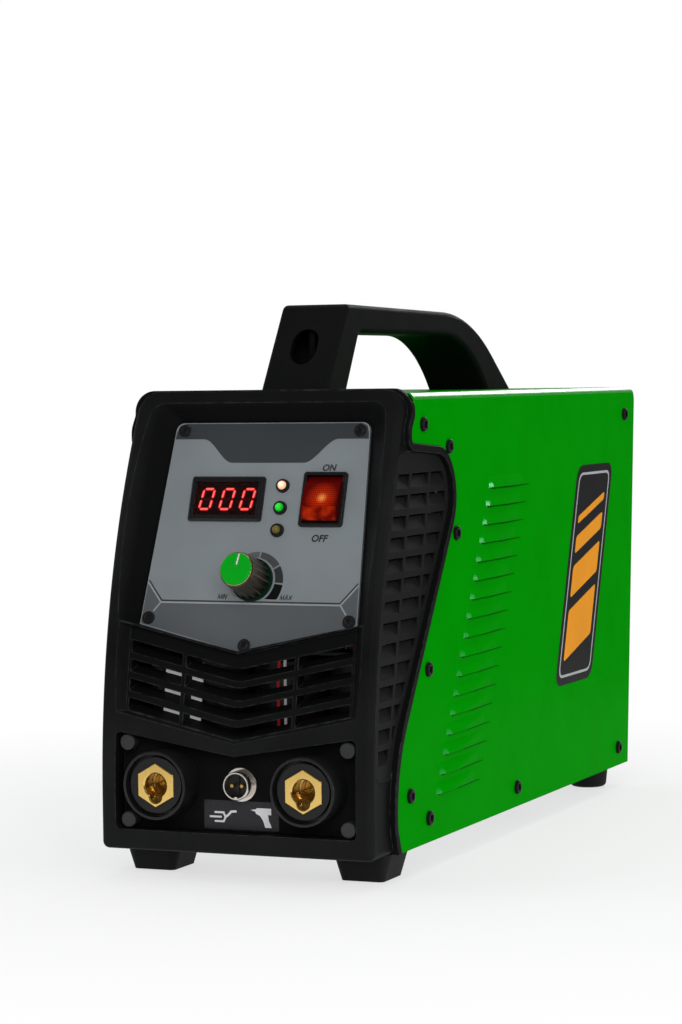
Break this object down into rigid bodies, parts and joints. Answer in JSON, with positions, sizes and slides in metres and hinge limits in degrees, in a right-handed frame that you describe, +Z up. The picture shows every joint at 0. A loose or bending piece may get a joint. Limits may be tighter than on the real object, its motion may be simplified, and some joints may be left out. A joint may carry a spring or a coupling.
{
  "type": "stud welding machine",
  "caption": "Capacitor-discharge stud welding machine in a carry case with handle, leaning control plate, chevron grille, twist-lock weld sockets and gun connector.",
  "frame": {"origin": "on the floor under the middle of the machine", "axes": "+Z up, -Y towards the control plate, +X to the right as seen from the front"},
  "size_m": [0.1754, 0.4818, 0.323],
  "materials": {
    "front_plastic": "moulded, fine grain",
    "case_green": "powder coat",
    "plate_grey": "printed, satin",
    "black_plastic": "satin",
    "smoked_pane": "clear, tinted",
    "lamp_amber": "clear",
    "lamp_green": "clear",
    "lamp_yellow": "clear",
    "rocker_red": "translucent",
    "knob_green": "satin",
    "knob_metal": "satin",
    "zinc_steel": "zinc plated",
    "nickel": "nickel plated",
    "brass": "turned",
    "rubber_black": "matt",
    "sheet_black": "powder coat",
    "sheet_zinc": "galvanised",
    "can_sleeve": "shrink sleeve",
    "board_green": "lacquered",
    "board_chips": "matt",
    "core_iron": "laminated",
    "coil_tape": "taped winding",
    "sink_aluminium": "extruded",
    "strip_white": "matt",
    "lead_red": "matt",
    "lead_black": "matt",
    "wire_white": "satin"
  },
  "bodies": {
    "case": {"front_bezel": "front_plastic", "side_grille_left": "front_plastic", "side_grille_right": "front_plastic", "cover": "case_green", "cover_screws": "zinc_steel", "control_plate": "plate_grey", "plate_screws": "zinc_steel", "meter_housing": "black_plastic", "meter_window": "smoked_pane", "lamp_holders": "black_plastic", "lamp_amber": "lamp_amber", "lamp_green": "lamp_green", "lamp_yellow": "lamp_yellow", "switch_body": "black_plastic", "potentiometer": "zinc_steel", "pot_nut": "zinc_steel", "socket_panel": "front_plastic", "panel_caps": "black_plastic", "socket_body_left": "black_plastic", "socket_body_right": "black_plastic", "socket_contact_left": "brass", "socket_contact_right": "brass", "socket_nuts": "black_plastic", "connector_shell": "nickel", "connector_insert": "black_plastic", "connector_pins": "brass", "connector_nut": "nickel", "handle": "front_plastic", "handle_screws": "zinc_steel", "base_tray": "sheet_zinc", "rear_panel": "sheet_black", "front_feet": "rubber_black", "rear_feet": "rubber_black", "foot_screws": "zinc_steel", "fan_frame": "black_plastic", "fan_screws": "zinc_steel", "cable_gland": "black_plastic", "gland_nut": "black_plastic", "capacitors": "can_sleeve", "bank_board": "board_green", "bank_screws": "zinc_steel", "transformer_core": "core_iron", "transformer_coil": "coil_tape", "heatsink": "sink_aluminium", "thyristor": "black_plastic", "charge_relay": "strip_white", "control_board": "board_green", "board_posts": "brass", "board_parts": "board_chips", "insulating_strip": "strip_white", "weld_lead_red": "lead_red", "weld_lead_black": "lead_black", "lead_lugs": "brass", "trigger_wire_red": "lead_red", "trigger_wire_white": "wire_white"},
    "knob": {"knob_core": "knob_green", "knob_sleeve": "knob_metal", "pot_shaft": "zinc_steel"},
    "rocker": {"switch_rocker": "rocker_red"},
    "fan": {"fan_rotor": "black_plastic"}
  },
  "joints": [
    {"name": "knob_turn", "type": "hinge", "parent": "case", "child": "knob", "pos_m": [0.0004, -0.2033, 0.16658], "axis": [0, -0.9432, 0.3322], "range_deg": [-142, 158]},
    {"name": "rocker_tilt", "type": "hinge", "parent": "case", "child": "rocker", "pos_m": [0.0374, -0.18513, 0.21065], "axis": [1, 0, 0], "range_deg": [0, 22]},
    {"name": "fan_spin", "type": "hinge", "parent": "case", "child": "fan", "pos_m": [0, 0.21201, 0.16612], "axis": [0, 0.9963, -0.0854], "continuous": true}
  ]
}
